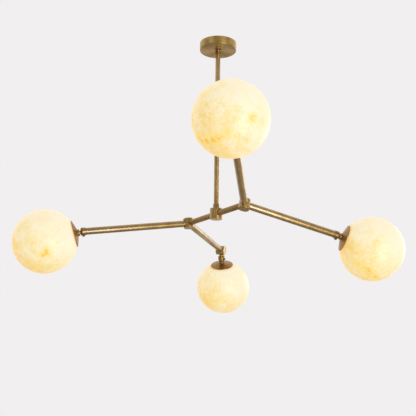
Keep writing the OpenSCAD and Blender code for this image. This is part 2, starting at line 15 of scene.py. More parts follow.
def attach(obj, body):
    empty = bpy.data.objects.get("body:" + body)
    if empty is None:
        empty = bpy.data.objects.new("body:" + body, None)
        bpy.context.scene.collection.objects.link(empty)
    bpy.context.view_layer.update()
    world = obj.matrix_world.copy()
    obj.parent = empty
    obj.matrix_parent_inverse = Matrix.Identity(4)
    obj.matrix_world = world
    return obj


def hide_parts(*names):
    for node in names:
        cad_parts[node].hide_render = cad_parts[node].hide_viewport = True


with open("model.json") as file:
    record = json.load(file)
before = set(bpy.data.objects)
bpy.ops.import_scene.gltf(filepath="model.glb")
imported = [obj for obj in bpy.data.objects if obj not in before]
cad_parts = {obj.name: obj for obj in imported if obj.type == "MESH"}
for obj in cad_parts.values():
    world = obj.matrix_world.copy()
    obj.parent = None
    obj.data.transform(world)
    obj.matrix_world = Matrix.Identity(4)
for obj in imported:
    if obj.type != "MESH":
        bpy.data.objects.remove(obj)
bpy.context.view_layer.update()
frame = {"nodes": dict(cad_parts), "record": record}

MM = 0.001

# ---------------------------------------------------------------------------------------------
# Sizes of the real pieces, as the solids have them

CANOPY_D, CANOPY_H, CANOPY_WALL, CANOPY_EDGE = 120, 26, 2.2, 2
DROP, ROD_D, ROD_WALL, SWIVEL_RISE = 578, 16, 1.5, 5
SWIVEL_D, SWIVEL_NECK_D = 20, 11
ROD_COLLAR_D, ROD_COLLAR_H, COUPLER_D, COUPLER_H = 19.5, 9, 20, 15
CENTRE_HUB_D, CENTRE_HUB_H, HUB_D, HUB_H, CAP_H, HUB_EDGE = 40, 34, 34, 32, 3, 1.2
BAR_D, BAR_WALL, BAR_YAW, BAR_LEFT, BAR_RIGHT = 18, 2, -59, 175, 159
LEFT_HUB_ROLL, RIGHT_HUB_ROLL, LEFT_HUB_LEAN, RIGHT_HUB_LEAN = 3, -16, -6.5, -5
ARM_D, ARM_WALL = 22, 1.2
LEFT_ARM = dict(yaw=204.6, pitch=-9.8, reach=361.9)
FAR_ARM = dict(yaw=72.3, pitch=-4, reach=381)
RIGHT_ARM = dict(yaw=23.5, pitch=-11.2, reach=323.6)
NEAR_ARM = dict(yaw=-98, pitch=18.6, reach=285)
ELBOW_ROLL, ELBOW_BEND, STEM_REACH, STEM_D = 6.5, 53.3, 34, 14
COLLAR_D, JOINT_BALL_D, COLLAR_FRONT, COLLAR_BACK, TILT_MAX = 25, 19.2, 6, 7, 21
NECK_D, NECK_REACH, PLATE_D, PLATE_RISE, PLATE_T = 21, 16.6, 84, 10, 2
LEFT_DROOP, LEFT_SWING, RIGHT_DROOP, RIGHT_SWING = 7.4, -19.2, 9.4, -16.5
THUMB_D, THUMB_H, THUMB_GAP, THUMB_EDGE = 8, 3.2, 0.4, 1
GLOBE_D, GLOBE_WALL, MOUTH_D, LAND_D = 200, 5, 60, 74
SCREW_D, SET_FIT, RUN_FIT, BALL_FIT, FACE_GAP = 4, 0.05, 0.05, 0.1, 0.05
THREAD_D, WIRE_D, WINDOW_D = 10, 6, 8
SEAT_WALL, SWING_MAX, SWING_GAP, COLLAR_WEB, ROD_PLUG = 2, 15, 0.6, 2, 12
COUPLER_SOCKET, COUPLER_SPIGOT_D, COUPLER_SPIGOT = 10, 14, 7
EAR_H, HEAD_LAND, SCREW_LEN, SCREW_SINK, SLOT_W = 14, 0.4, 8, 0.3, 0.9
HUB_CAVITY_R, CENTRE_CAVITY_R, CAP_SPIGOT = 10, 12, 2
DISH_IN, DISH_OUT, DISH_DEPTH = 3.4, 3.1, 0.25
BAR_END_GAP, GROOVE_W, ELBOW_GROOVE_W, ARM_SLIP, ARM_SINK = 4, 5, 4, 0.2, 0.3
GRUB_X, CENTRE_GRUB_X, ELBOW_GRUB_X = 13.5, 15, 8
GRUB_D, ELBOW_GRUB_D, GRUB_H, HEX_DEPTH, HEX_SHARE = 4, 3, 5.5, 2.2, 0.58
STEM_START, STEM_CUP, STEM_FLARE, TILT_GAP = 7, 3, 2, 0.35
RING_T, RING_INSET, SLEEVE_WALL, SLEEVE_H = 1, 0.2, 3, 9
PLATE_STEP, PLATE_SPIGOT_WALL, PLATE_SPIGOT_H, RIM_EDGE, LAND_GAP = 0.5, 2.4, 6, 0.4, 0.4
FLUTES, FLUTE_DEPTH, FLUTE_INSET, FLUTE_REACH = 16, 0.35, 0.8, 0.9
# How far a cutter runs past a surface
CUT = 1
# The outermost faces lie this much inside the solids, so that the look never outgrows them
SKIN = 0.05

canopy_r = CANOPY_D / 2
canopy_in_r = canopy_r - CANOPY_WALL
canopy_floor = -CANOPY_H + CANOPY_WALL
seat_spigot_r = SWIVEL_D / 2 + SEAT_WALL
ball_z = -CANOPY_H + SWIVEL_RISE
swing = math.radians(SWING_MAX)
collar_top = ball_z - (SWIVEL_RISE + SWING_GAP
                       + ROD_COLLAR_D / 2 * math.sin(swing)) / math.cos(swing)
rod_top = collar_top - COLLAR_WEB
rod_foot = -DROP + CENTRE_HUB_H / 2 + COUPLER_H - COUPLER_SOCKET
arm_face = math.sqrt((HUB_D / 2) ** 2 - (ARM_D / 2 + ARM_SLIP) ** 2) - ARM_SINK
arm_in_r = ARM_D / 2 - ARM_WALL
plug_start, plug_h, tube_end = 9.5, 8, -4
spigot_r, spigot_end, groove_depth = 7, 3, 0.9
ball_r = JOINT_BALL_D / 2
seat_ball_r = ball_r + BALL_FIT
mouth_in_collar = math.sqrt(seat_ball_r ** 2 - COLLAR_FRONT ** 2)
tilt = math.radians(TILT_MAX)
neck_in_r = (mouth_in_collar - TILT_GAP) * math.cos(tilt) - COLLAR_FRONT * math.sin(tilt)
neck_start = (COLLAR_FRONT + TILT_GAP + NECK_D / 2 * math.sin(tilt)) / math.cos(tilt)
seat_x = NECK_REACH + PLATE_RISE
land_x = seat_x + RING_T
globe_x = land_x + math.sqrt((GLOBE_D / 2) ** 2 - (LAND_D / 2) ** 2)
sleeve_r = MOUTH_D / 2 - SET_FIT
sleeve_in_r = sleeve_r - SLEEVE_WALL
plate_spigot_r = sleeve_in_r - SET_FIT

# ---------------------------------------------------------------------------------------------
# Where each piece stands: +X of an arm's frame runs along the arm, and +X of an upright frame is up


def shift(x=0.0, y=0.0, z=0.0):
    return Matrix.Translation((x, y, z))


def turn(degrees, axis):
    return Matrix.Rotation(math.radians(degrees), 4, axis)


def along_arm(end, arm):
    return end @ turn(-BAR_YAW, "Z") @ turn(arm["yaw"], "Z") @ turn(-arm["pitch"], "Y")


UPRIGHT = turn(-90, "Y")
FACING_DOWN = turn(90, "Y")
ceiling = Matrix.Identity(4)
at_bar = shift(z=-DROP) @ turn(BAR_YAW, "Z")
left_end = at_bar @ shift(x=-BAR_LEFT)
right_end = at_bar @ shift(x=BAR_RIGHT)
left_hub = left_end @ turn(LEFT_HUB_ROLL, "X")
right_hub = right_end @ turn(RIGHT_HUB_ROLL, "X")
left_hub_tilt = left_hub @ turn(LEFT_HUB_LEAN, "Y")
right_hub_tilt = right_hub @ turn(RIGHT_HUB_LEAN, "Y")
on_left_arm = along_arm(left_end, LEFT_ARM)
on_far_arm = along_arm(left_end, FAR_ARM)
on_right_arm = along_arm(right_end, RIGHT_ARM)
on_near_arm = along_arm(right_end, NEAR_ARM)
at_elbow = on_far_arm @ shift(x=FAR_ARM["reach"]) @ turn(ELBOW_ROLL, "X")
on_stem = at_elbow @ turn(ELBOW_BEND, "Y")
arm_end = {
    "left": on_left_arm @ shift(x=LEFT_ARM["reach"]),
    "far": on_stem @ shift(x=STEM_REACH),
    "right": on_right_arm @ shift(x=RIGHT_ARM["reach"]),
    "near": on_near_arm @ shift(x=NEAR_ARM["reach"]),
}
hang = {
    "left": arm_end["left"] @ turn(LEFT_SWING, "Z") @ turn(LEFT_DROOP, "Y"),
    "far": arm_end["far"],
    "right": arm_end["right"] @ turn(RIGHT_SWING, "Z") @ turn(RIGHT_DROOP, "Y"),
    "near": arm_end["near"],
}
SIDES = ["left", "far", "right", "near"]

# ---------------------------------------------------------------------------------------------
# Nodes and colours

MATHS, VECTOR, NOISE = "ShaderNodeMath", "ShaderNodeVectorMath", "ShaderNodeTexNoise"
RAMP, MIX, BUMP = "ShaderNodeValToRGB", "ShaderNodeMix", "ShaderNodeBump"
SPLIT, JOIN = "ShaderNodeSeparateXYZ", "ShaderNodeCombineXYZ"
SURFACE = "ShaderNodeBsdfPrincipled"


def add(tree, kind, *values, stops=(), **settings):
    """Adds one node. Its values go to its inputs in order, or by name from a dictionary: each is a
    plain value, a socket, or a node whose first output is meant. A colour ramp also has its
    stops."""
    made = tree.nodes.new(kind)
    for name, value in settings.items():
        setattr(made, name, value)
    wanted = {}
    for place, value in enumerate(values):
        wanted.update(value if isinstance(value, dict) else {place: value})
    for key, value in wanted.items():
        if isinstance(value, bpy.types.Node):
            value = next(socket for socket in value.outputs if socket.enabled)
        if isinstance(value, bpy.types.NodeSocket):
            tree.links.new(value, made.inputs[key])
        else:
            made.inputs[key].default_value = value
    for i, (place, value) in enumerate(stops):
        ramp = made.color_ramp.elements
        stop = ramp[i] if i < 2 else ramp.new(place)
        stop.position = place
        stop.color = tone(value) if isinstance(value, str) else (value, value, value, 1.0)
    return made


def tone(code):
    """An sRGB hex colour as the linear colour that a node takes."""
    parts = [int(code[i:i + 2], 16) / 255 for i in (1, 3, 5)]
    linear = [c / 12.92 if c <= 0.04045 else ((c + 0.055) / 1.055) ** 2.4 for c in parts]
    return (*linear, 1.0)


def per_metre(*sizes):
    """How often a pattern of these sizes, in millimetres along X, Y and Z, comes in a metre."""
    return tuple(1000 / size for size in sizes)


def new_material(name):
    """An empty material, its tree, and what adds a node to that tree."""
    material = bpy.data.materials.new(name)
    material.use_nodes = True
    material.node_tree.nodes.clear()
    return material, partial(add, material.node_tree)


def own_place(node, piece_frame):
    """Object coordinates in a piece's own frame, in metres, so that a pattern lies along it."""
    return node("ShaderNodeMapping", {
        "Vector": node("ShaderNodeTexCoord").outputs["Object"],
        "Location": piece_frame.translation * MM,
        "Rotation": piece_frame.to_euler("XYZ")}, vector_type="TEXTURE")


# ---------------------------------------------------------------------------------------------
# Finishes


def aged_brass(name, piece_frame, marks, dark="#85652F", mid="#B3914E", light="#D0B06C", seed=0.0,
               rough=0.46, lacquer=0.9):
    """Brass, brushed, left to tone down and then lacquered: a warm tan metal, a little browner in
    patches, with a soft gleam that the lacquer whitens. The brushing runs lengthwise on a drawn
    tube and round the axis on a turned piece."""
    material, node = new_material(name)
    place = own_place(node, piece_frame)
    # Browning comes in patches of about 30 mm, with small flecks of about 6 mm
    patches = node(NOISE, {
        "Vector": node(VECTOR, place, per_metre(38, 28, 28), operation="MULTIPLY"), "W": seed,
        "Scale": 1.0, "Detail": 4.0, "Roughness": 0.55}, noise_dimensions="4D")
    flecks = node(NOISE, {
        "Vector": node(VECTOR, place, per_metre(7, 6, 6), operation="MULTIPLY"), "W": seed + 3,
        "Scale": 1.0, "Detail": 2.0}, noise_dimensions="4D")
    # The real lines are 0.2 mm apart, finer than a render shows, so they are drawn 1 to 2 mm apart
    along, across, upward = node(SPLIT, place).outputs
    if marks == "drawn":
        stretched = node(VECTOR, place, per_metre(60, 1.5, 1.5), operation="MULTIPLY")
    else:
        reach = node(MATHS, node(MATHS, node(MATHS, across, 2.0, operation="POWER"),
                                 node(MATHS, upward, 2.0, operation="POWER"), operation="ADD"),
                     operation="SQRT")
        stretched = node(VECTOR, node(JOIN, along, reach, across), per_metre(1.3, 1.3, 70),
                         operation="MULTIPLY")
    lines = node(NOISE, {"Vector": stretched, "W": seed + 7, "Scale": 1.0, "Detail": 2.0,
                         "Roughness": 0.65}, noise_dimensions="4D")
    worn = node(MATHS, patches, 0.9, node(MATHS, flecks, 0.22, operation="MULTIPLY"),
                operation="MULTIPLY_ADD")
    tint = node(MATHS, lines, 0.24, worn, operation="MULTIPLY_ADD")
    colour = node(RAMP, node(MATHS, tint, 0.18, operation="SUBTRACT"),
                  stops=[(0.16, dark), (0.5, mid), (0.84, light)])
    # Browned patches are duller than the rubbed ones
    dull = node(MATHS, patches, -0.08, node(MATHS, lines, 0.06, rough + 0.01,
                                            operation="MULTIPLY_ADD"),
                operation="MULTIPLY_ADD", use_clamp=True)
    brushed = node(BUMP, {"Strength": 0.06, "Distance": 0.00004, "Height": lines})
    # The last polish goes round the axis of every piece, and smears its gleam lengthwise
    polish = node("ShaderNodeMapping", {
        "Vector": node(JOIN, 0.0, node(MATHS, upward, -1.0, operation="MULTIPLY"), across),
        "Rotation": piece_frame.to_euler("XYZ")}, vector_type="VECTOR")
    polish = node("ShaderNodeVectorTransform", polish, vector_type="VECTOR", convert_from="OBJECT",
                  convert_to="WORLD")
    skin = node(SURFACE, {
        "Base Color": colour, "Metallic": 1.0, "Roughness": dull, "Normal": brushed,
        "Anisotropic": 0.7, "Anisotropic Rotation": 0.25, "Tangent": polish,
        "Coat Weight": lacquer, "Coat Roughness": 0.2, "Coat IOR": 1.8})
    node("ShaderNodeOutputMaterial", skin)
    return material


# Rust in the stone of each globe: across and up as seen from low in front, size, all three in
# shares of the globe's radius, and how strong it is
RUST = {
    "left": [(0.06, -0.31, 0.15, 1.0), (-0.03, -0.4, 0.13, 0.9), (-0.26, -0.8, 0.12, 0.9),
             (-0.36, -0.76, 0.1, 0.6)],
    "far": [(-0.12, -0.44, 0.13, 0.6), (0.22, -0.28, 0.1, 0.5), (-0.48, -0.6, 0.24, 0.6)],
    "right": [(-0.12, -0.62, 0.13, 1.0), (0.07, -0.85, 0.13, 1.0), (-0.4, -0.44, 0.22, 0.65),
              (-0.02, -0.73, 0.08, 0.9), (-0.25, -0.55, 0.1, 0.8)],
    "near": [(0.5, 0.03, 0.11, 0.9), (0.58, 0.07, 0.08, 0.8), (0.76, -0.08, 0.1, 0.55),
             (-0.1, -0.32, 0.1, 0.9), (-0.2, -0.42, 0.09, 0.9), (-0.31, -0.46, 0.12, 1.0),
             (-0.43, -0.5, 0.14, 1.0), (-0.6, -0.52, 0.15, 1.0), (-0.74, -0.5, 0.13, 1.0)],
}
LOW_IN_FRONT = Vector((-26, -2297, -1089))
# Every globe is more honey-coloured towards the same side of the room: low, on the left and to the
# front
HONEY_SIDE = (-0.72, -0.2, -0.66)


def lit_alabaster(name, piece_frame, rust, seed):
    """Alabaster, turned to a thin shell and softly polished, with a lamp inside: a cream glow,
    painted on as the shell's own light, with paler and honey-coloured clouds, fine mottling, a few
    clusters of rust specks, and a thin amber line of painted light where the stone meets its plate."""
    material, node = new_material(name)
    centre = piece_frame @ shift(x=globe_x)
    facing = centre.to_3x3().transposed()
    place = own_place(node, centre)
    # Fine mottling of 7 to 8 mm, clouds of 70 to 90 mm, and folded wisps of 26 to 40 mm
    mottle = node(NOISE, {
        "Vector": node(VECTOR, place, per_metre(8, 7, 7), operation="MULTIPLY"), "W": seed + 5,
        "Scale": 1.0, "Detail": 3.0, "Roughness": 0.6}, noise_dimensions="4D")
    clouds = node(NOISE, {
        "Vector": node(VECTOR, place, per_metre(90, 70, 78), operation="MULTIPLY"), "W": seed,
        "Scale": 1.0, "Detail": 3.0, "Roughness": 0.5, "Distortion": 0.4}, noise_dimensions="4D")
    wisps = node(NOISE, {
        "Vector": node(VECTOR, place, per_metre(40, 26, 32), operation="MULTIPLY"), "W": seed + 11,
        "Scale": 1.0, "Detail": 5.0, "Roughness": 0.62, "Distortion": 0.9}, noise_dimensions="4D")
    # More honey-coloured towards one side, the same side of the room on all four globes
    toward = node(VECTOR, place, tuple(facing @ Vector(HONEY_SIDE)), operation="DOT_PRODUCT")
    honey_lean = node(MATHS, toward, 1000 / GLOBE_D * 0.62, 0.5, operation="MULTIPLY_ADD")
    stirred = node(MATHS, clouds, 0.5, node(MATHS, wisps, 0.7, operation="MULTIPLY"),
                   operation="MULTIPLY_ADD")
    honey = node(MATHS, honey_lean, node(MATHS, node(MATHS, mottle, 0.6, operation="MULTIPLY"), stirred,
                                  operation="ADD"), operation="ADD")
    # The glow is painted light: the shell gives off the stone's colours itself, in place of the
    # lamp's light shining through it
    glow = node(RAMP, node(MATHS, honey, 0.9, operation="SUBTRACT"),
                stops=[(0.14, "#FBFFFA"), (0.34, "#FBFDEE"), (0.52, "#FBF9DF"), (0.72, "#FBEDB6"),
                       (0.92, "#FBDC84")])
    # Pale threads, 2 to 3 mm wide, run where two folds of the stone meet
    fold = node(NOISE, {
        "Vector": node(VECTOR, place, per_metre(86, 60, 72), operation="MULTIPLY"), "W": seed + 23,
        "Scale": 1.0, "Detail": 3.0, "Roughness": 0.45, "Distortion": 0.8}, noise_dimensions="4D")
    thread = node(RAMP, node(MATHS, node(MATHS, fold, 0.5, operation="SUBTRACT"),
                             operation="ABSOLUTE"),
                  stops=[(0.0, 0.5), (0.022, 0.0)])
    glow = node(MIX, {0: thread, 6: glow, 7: tone("#FFFDF2")}, data_type="RGBA")
    # Rust lies in clusters, broken into ragged specks of up to 9 mm, each in a golden stain
    ragged = node(NOISE, {
        "Vector": node(VECTOR, place, per_metre(9, 9, 9), operation="MULTIPLY"), "W": seed + 40,
        "Scale": 1.0, "Detail": 2.0, "Roughness": 0.6}, noise_dimensions="4D")
    near_rust = None
    outward = (LOW_IN_FRONT - centre.translation).normalized()
    rightward = Vector((0, 0, 1)).cross(outward).normalized()
    upward = outward.cross(rightward)
    for across, up, size, strength in rust:
        spot = rightward * across + upward * up + outward * math.sqrt(1 - across ** 2 - up ** 2)
        away = node(VECTOR, place, tuple(facing @ spot * (GLOBE_D / 2 * MM)), operation="DISTANCE")
        shade = node(MATHS, away, -strength * 1000 / GLOBE_D / size, strength,
                     operation="MULTIPLY_ADD",
                     use_clamp=True)
        near_rust = shade if near_rust is None else node(MATHS, near_rust, shade,
                operation="MAXIMUM")
    stain = node(RAMP, node(MATHS, near_rust, ragged, operation="MULTIPLY"),
                 stops=[(0.05, 0.0), (0.4, 0.8)])
    speck = node(RAMP, node(MATHS, near_rust, node(MATHS, ragged, 1.4, operation="MULTIPLY"),
                            operation="MULTIPLY"), stops=[(0.46, 0.0), (0.66, 0.8)])
    glow = node(MIX, {0: stain, 6: glow, 7: tone("#FFEA90")}, data_type="RGBA")
    glow = node(MIX, {0: speck, 6: glow, 7: tone("#F8CC4C")}, data_type="RGBA")
    # The light that creeps out beside the plate is amber: strongest in the last 2 mm beside it,
    # and faded out within 15 mm
    axis = node(SPLIT, place).outputs[0]
    rim = node(RAMP, node(MATHS, axis, -1000 / GLOBE_D, 0.5, operation="MULTIPLY_ADD"),
               stops=[(0.932, 0.0), (0.96, 0.6)])
    glow = node(MIX, {0: rim, 6: glow, 7: tone("#F8BE5E")}, data_type="RGBA")
    polish = node(BUMP, {"Strength": 0.1, "Distance": 0.0002, "Height": wisps})
    # A honey-coloured skin over the stone makes its limb peachy, as polished stone looks edge-on
    stone = node(SURFACE, {
        "Base Color": node(MIX, {0: 1.0, 6: glow, 7: tone("#8F8A80")}, data_type="RGBA",
                           blend_type="MULTIPLY"),
        "Roughness": 0.42, "IOR": 1.45, "Normal": polish, "Coat Weight": 1.0, "Coat Roughness": 0.4,
        "Coat IOR": 1.12, "Coat Tint": tone("#FFF7EC"), "Emission Color": glow,
        "Emission Strength": 0.8})
    node("ShaderNodeOutputMaterial", stone)
    return material


# Plastic and glass bend light about this much. The grain stands this proud, in millimetres
PLAIN_IOR, GRAIN_PROUD = 1.5, 0.02


def grained(name, low, high, size, rough, metallic=0.0, seed=0.0, glow=0.0):
    """A material with a fine grain of one size, in two close shades."""
    material, node = new_material(name)
    place = own_place(node, ceiling)
    fine, wide = [node(NOISE, {
        "Vector": node(VECTOR, place, per_metre(step, step, step), operation="MULTIPLY"),
        "W": seed, "Scale": 1.0, "Detail": 3.0, "Roughness": 0.6}, noise_dimensions="4D")
        for step in (size, size * 12)]
    mixed = node(MATHS, fine, 0.55, node(MATHS, wide, 0.45, operation="MULTIPLY"),
                 operation="MULTIPLY_ADD")
    colour = node(RAMP, mixed, stops=[(0.32, low), (0.68, high)])
    values = {
        "Base Color": colour, "Metallic": metallic,
        "Roughness": node(MATHS, fine, 0.16, rough - 0.08, operation="MULTIPLY_ADD"),
        "Normal": node(BUMP, {"Strength": 0.3, "Distance": GRAIN_PROUD * MM, "Height": fine})}
    if not metallic:
        values["IOR"] = PLAIN_IOR
    if glow:
        values.update({"Emission Color": colour, "Emission Strength": glow})
    node("ShaderNodeOutputMaterial", node(SURFACE, values))
    return material


# Zinc plate on pressed steel: cool grey, with a faint cloudy spangle of about 4 mm
zinc_steel = grained("zinc plated steel", "#8E9296", "#C3C6C8", 4, 0.38, metallic=1.0, seed=1)
# Black oxide on steel: near black, with a low oily gleam
black_steel = grained("black oxide steel", "#2B2A28", "#47443F", 1.5, 0.42, metallic=1.0, seed=2)
# Passivated steel of the earth screw: green with a metal gleam
green_steel = grained("green passivated steel", "#3E6B38", "#5C8F50", 2, 0.36, metallic=1.0, seed=3)
# Turned aluminium of the globes' threaded rings: pale grey, lightly satin
turned_aluminium = grained("turned aluminium", "#A9A8A4", "#CFCDC8", 2.5, 0.34, metallic=1.0,
                           seed=4)
# Heat-proof moulded plastic of the lampholders: off-white and matte
holder_plastic = grained("moulded lampholder plastic", "#E4E1D8", "#F1EEE6", 1.2, 0.55, seed=5)
# Polyamide of the terminal block: milky white with a slight shine
block_plastic = grained("milky polyamide", "#DCDAD0", "#ECEAE2", 2.0, 0.4, seed=6)
# Frosted glass of the lit bulbs: an even warm white
frosted_glass = grained("frosted bulb glass", "#F6EBD2", "#FFF8E8", 1.0, 0.45, seed=7, glow=0.9)

# ---------------------------------------------------------------------------------------------
# Geometry trees

# Two faces that turn more than this from each other meet in a corner
CORNER = math.radians(32)


def new_tree(name, **inputs):
    """A geometry tree with named inputs, each a socket type and its usual value."""
    tree = bpy.data.node_groups.new(name, "GeometryNodeTree")
    tree.is_modifier = True
    tree.interface.new_socket("Geometry", in_out="INPUT", socket_type="NodeSocketGeometry")
    tree.interface.new_socket("Geometry", in_out="OUTPUT", socket_type="NodeSocketGeometry")
    for label, (kind, value) in inputs.items():
        socket = tree.interface.new_socket(label.replace("_", " "), in_out="INPUT",
                                           socket_type=kind)
        if value is not None:
            socket.default_value = value
    node = partial(add, tree)
    return tree, node, node("NodeGroupInput").outputs


def finish_tree(node, geometry, given):
    """Smooths what a tree has made, keeps its corners sharp, and gives it its material."""
    smooth = node("GeometryNodeSetShadeSmooth", {"Geometry": geometry, "Shade Smooth": True},
                  domain="FACE")
    sharp = node("FunctionNodeCompare", node("GeometryNodeInputMeshEdgeAngle"),
                 given["Corner Angle"],
                 data_type="FLOAT", operation="GREATER_THAN")
    kept = node("GeometryNodeSetShadeSmooth", {
        "Geometry": smooth, "Selection": sharp, "Shade Smooth": False}, domain="EDGE")
    real = node("GeometryNodeRealizeInstances", {"Geometry": kept})
    node("NodeGroupOutput", node("GeometryNodeSetMaterial", {
        "Geometry": real, "Material": given["Finish"]}))


def spin(node, outline, sides):
    """Turns an outline's points, in order, about the X axis: a point is (along, radius, 0)."""
    count = node("GeometryNodeAttributeDomainSize", {"Geometry": outline}, component="MESH")
    row = node(MATHS, sides, 1.0, operation="ADD")
    grid = node("GeometryNodeMeshGrid", {
        "Size X": 1.0, "Size Y": 1.0, "Vertices X": count, "Vertices Y": row})
    index = node("GeometryNodeInputIndex")
    station = node(MATHS, node(MATHS, node(MATHS, index, 0.25, operation="ADD"), row,
                               operation="DIVIDE"),
                   operation="FLOOR")
    step = node(MATHS, index, node(MATHS, station, row, operation="MULTIPLY"), operation="SUBTRACT")
    point = node("GeometryNodeSampleIndex", {
        "Geometry": outline, "Value": node("GeometryNodeInputPosition"), "Index": station},
        data_type="FLOAT_VECTOR", domain="POINT")
    along, radius, _ = node(SPLIT, point).outputs
    angle = node(MATHS, node(MATHS, step, sides, operation="DIVIDE"), 2 * math.pi,
                 operation="MULTIPLY")
    turned_place = node(JOIN, along,
                        node(MATHS, radius, node(MATHS, angle, operation="COSINE"),
                             operation="MULTIPLY"),
                        node(MATHS, radius, node(MATHS, angle, operation="SINE"),
                             operation="MULTIPLY"))
    bent = node("GeometryNodeSetPosition", {"Geometry": grid, "Position": turned_place})
    return node("GeometryNodeMergeByDistance", {"Geometry": bent, "Distance": 0.002})


def turning_tree():
    """Spins an outline into a turned piece."""
    tree, node, given = new_tree(
        "turned piece", Sides=("NodeSocketInt", 96), Corner_Angle=("NodeSocketFloat", CORNER),
        Finish=("NodeSocketMaterial", None))
    finish_tree(node, spin(node, given["Geometry"], given["Sides"]), given)
    return tree


def globe_tree():
    """A hollow globe with a round mouth, cut flat round it: two arcs and the land between them."""
    tree, node, given = new_tree(
        "hollow globe", Globe_Radius=("NodeSocketFloat", GLOBE_D / 2),
        Wall=("NodeSocketFloat", GLOBE_WALL),
        Mouth_Radius=("NodeSocketFloat", MOUTH_D / 2), Land_Radius=("NodeSocketFloat", LAND_D / 2),
        Outer_Steps=("NodeSocketInt", 96), Inner_Steps=("NodeSocketInt", 48),
        Sides=("NodeSocketInt", 160), Corner_Angle=("NodeSocketFloat", CORNER),
        Finish=("NodeSocketMaterial", None))
    globe_r, mouth_r = given["Globe Radius"], given["Mouth Radius"]
    inner = node(MATHS, globe_r, given["Wall"], operation="SUBTRACT")
    land = node(MATHS, node(MATHS, given["Land Radius"], globe_r, operation="DIVIDE"),
                operation="ARCSINE")
    lip = node(MATHS, node(MATHS, mouth_r, inner, operation="DIVIDE"), operation="ARCSINE")
    outer_sweep = node(MATHS, math.pi, land, operation="SUBTRACT")
    inner_sweep = node(MATHS, math.pi, lip, operation="SUBTRACT")
    outer_arc = node("GeometryNodeCurveArc", {
        "Resolution": given["Outer Steps"], "Radius": globe_r, "Start Angle": 0.0,
        "Sweep Angle": outer_sweep}, mode="RADIUS")
    inner_arc = node("GeometryNodeCurveArc", {
        "Resolution": given["Inner Steps"], "Radius": inner, "Start Angle": inner_sweep,
        "Sweep Angle": node(MATHS, inner_sweep, -1.0, operation="MULTIPLY")}, mode="RADIUS")
    land_at = node(MATHS, node(MATHS, outer_sweep, operation="COSINE"), globe_r,
                   operation="MULTIPLY")
    corner = node("GeometryNodeMeshLine", {
        "Count": 1, "Start Location": node(JOIN, land_at, mouth_r)})
    # The last link to a join comes first in its result
    outline_points = node("GeometryNodeJoinGeometry")
    for piece in (node("GeometryNodeCurveToMesh", inner_arc), corner,
                  node("GeometryNodeCurveToMesh", outer_arc)):
        tree.links.new(piece.outputs[0], outline_points.inputs[0])
    finish_tree(node, spin(node, outline_points, given["Sides"]), given)
    return tree


def flute_tree():
    """Cuts evenly spaced flutes along the side of a turned head, fading out at its two ends."""
    tree, node, given = new_tree(
        "fluted head", Flutes=("NodeSocketInt", 16), Depth=("NodeSocketFloat", 0.35),
        Side_Start=("NodeSocketFloat", 0.0), Side_End=("NodeSocketFloat", 1.0),
        Side_Radius=("NodeSocketFloat", 3.0), Corner_Angle=("NodeSocketFloat", math.radians(60)),
        Finish=("NodeSocketMaterial", None))
    along, across, upward = node(SPLIT, node("GeometryNodeInputPosition")).outputs
    angle = node(MATHS, upward, across, operation="ARCTAN2")
    turns = node(MATHS, angle, given["Flutes"], operation="MULTIPLY")
    wave = node(MATHS, node(MATHS, turns, operation="COSINE"), 0.5, 0.5, operation="MULTIPLY_ADD")
    middle = node(MATHS, node(MATHS, given["Side Start"], given["Side End"], operation="ADD"), 0.5,
                  operation="MULTIPLY")
    half = node(MATHS, given["Side End"], middle, operation="SUBTRACT")
    off = node(MATHS, node(MATHS, node(MATHS, along, middle, operation="SUBTRACT"),
                           operation="ABSOLUTE"),
               half, operation="DIVIDE")
    inside = node(MATHS, 1.0, node(MATHS, off, 6.0, operation="POWER"), operation="SUBTRACT",
                  use_clamp=True)
    reach = node(MATHS, node(MATHS, node(MATHS, across, 2.0, operation="POWER"),
                             node(MATHS, upward, 2.0, operation="POWER"), operation="ADD"),
                             operation="SQRT")
    on_side = node(MATHS, reach, given["Side Radius"], operation="GREATER_THAN")
    depth = node(MATHS, node(MATHS, wave, given["Depth"], operation="MULTIPLY"),
                 node(MATHS, inside, on_side, operation="MULTIPLY"), operation="MULTIPLY")
    share = node(MATHS, node(MATHS, depth, -1.0, operation="MULTIPLY"),
                 node(MATHS, reach, 0.01, operation="MAXIMUM"), operation="DIVIDE")
    inward = node(JOIN, 0.0, node(MATHS, across, share, operation="MULTIPLY"),
                  node(MATHS, upward, share, operation="MULTIPLY"))
    cut = node("GeometryNodeSetPosition", {"Geometry": given["Geometry"], "Offset": inward})
    finish_tree(node, cut, given)
    return tree


def set_screw_tree():
    """Stands a set screw with a six-sided socket, head up, on each point of a mesh."""
    tree, node, given = new_tree(
        "set screws", Screw_Radius=("NodeSocketFloat", 2.0), Length=("NodeSocketFloat", 5.5),
        Socket_Radius=("NodeSocketFloat", 1.15), Socket_Depth=("NodeSocketFloat", 2.2),
        Corner_Angle=("NodeSocketFloat", CORNER), Finish=("NodeSocketMaterial", None))
    bar = node("GeometryNodeMeshCylinder", {
        "Vertices": 32, "Radius": given["Screw Radius"], "Depth": given["Length"]})
    hollow = node("GeometryNodeMeshCylinder", {
        "Vertices": 6, "Radius": given["Socket Radius"],
        "Depth": node(MATHS, given["Socket Depth"], 2.0, operation="MULTIPLY")})
    lift = node(JOIN, 0.0, 0.0, node(MATHS, given["Length"], 0.5, operation="MULTIPLY"))
    lifted = node("GeometryNodeTransform", {"Geometry": hollow, "Translation": lift})
    cut = node("GeometryNodeMeshBoolean", {"Mesh 1": bar, "Mesh 2": lifted}, operation="DIFFERENCE")
    standing = node("GeometryNodeTransform", {"Geometry": cut, "Translation": lift})
    placed = node("GeometryNodeInstanceOnPoints",
                  {"Points": given["Geometry"], "Instance": standing})
    finish_tree(node, placed, given)
    return tree


TURNED, GLOBE, FLUTED, SET_SCREWS = turning_tree(), globe_tree(), flute_tree(), set_screw_tree()

# ---------------------------------------------------------------------------------------------
# Making pieces

BODY_OF = {node: body for body, nodes in frame["record"]["behaviour"]["bodies"].items()
           for node in nodes}


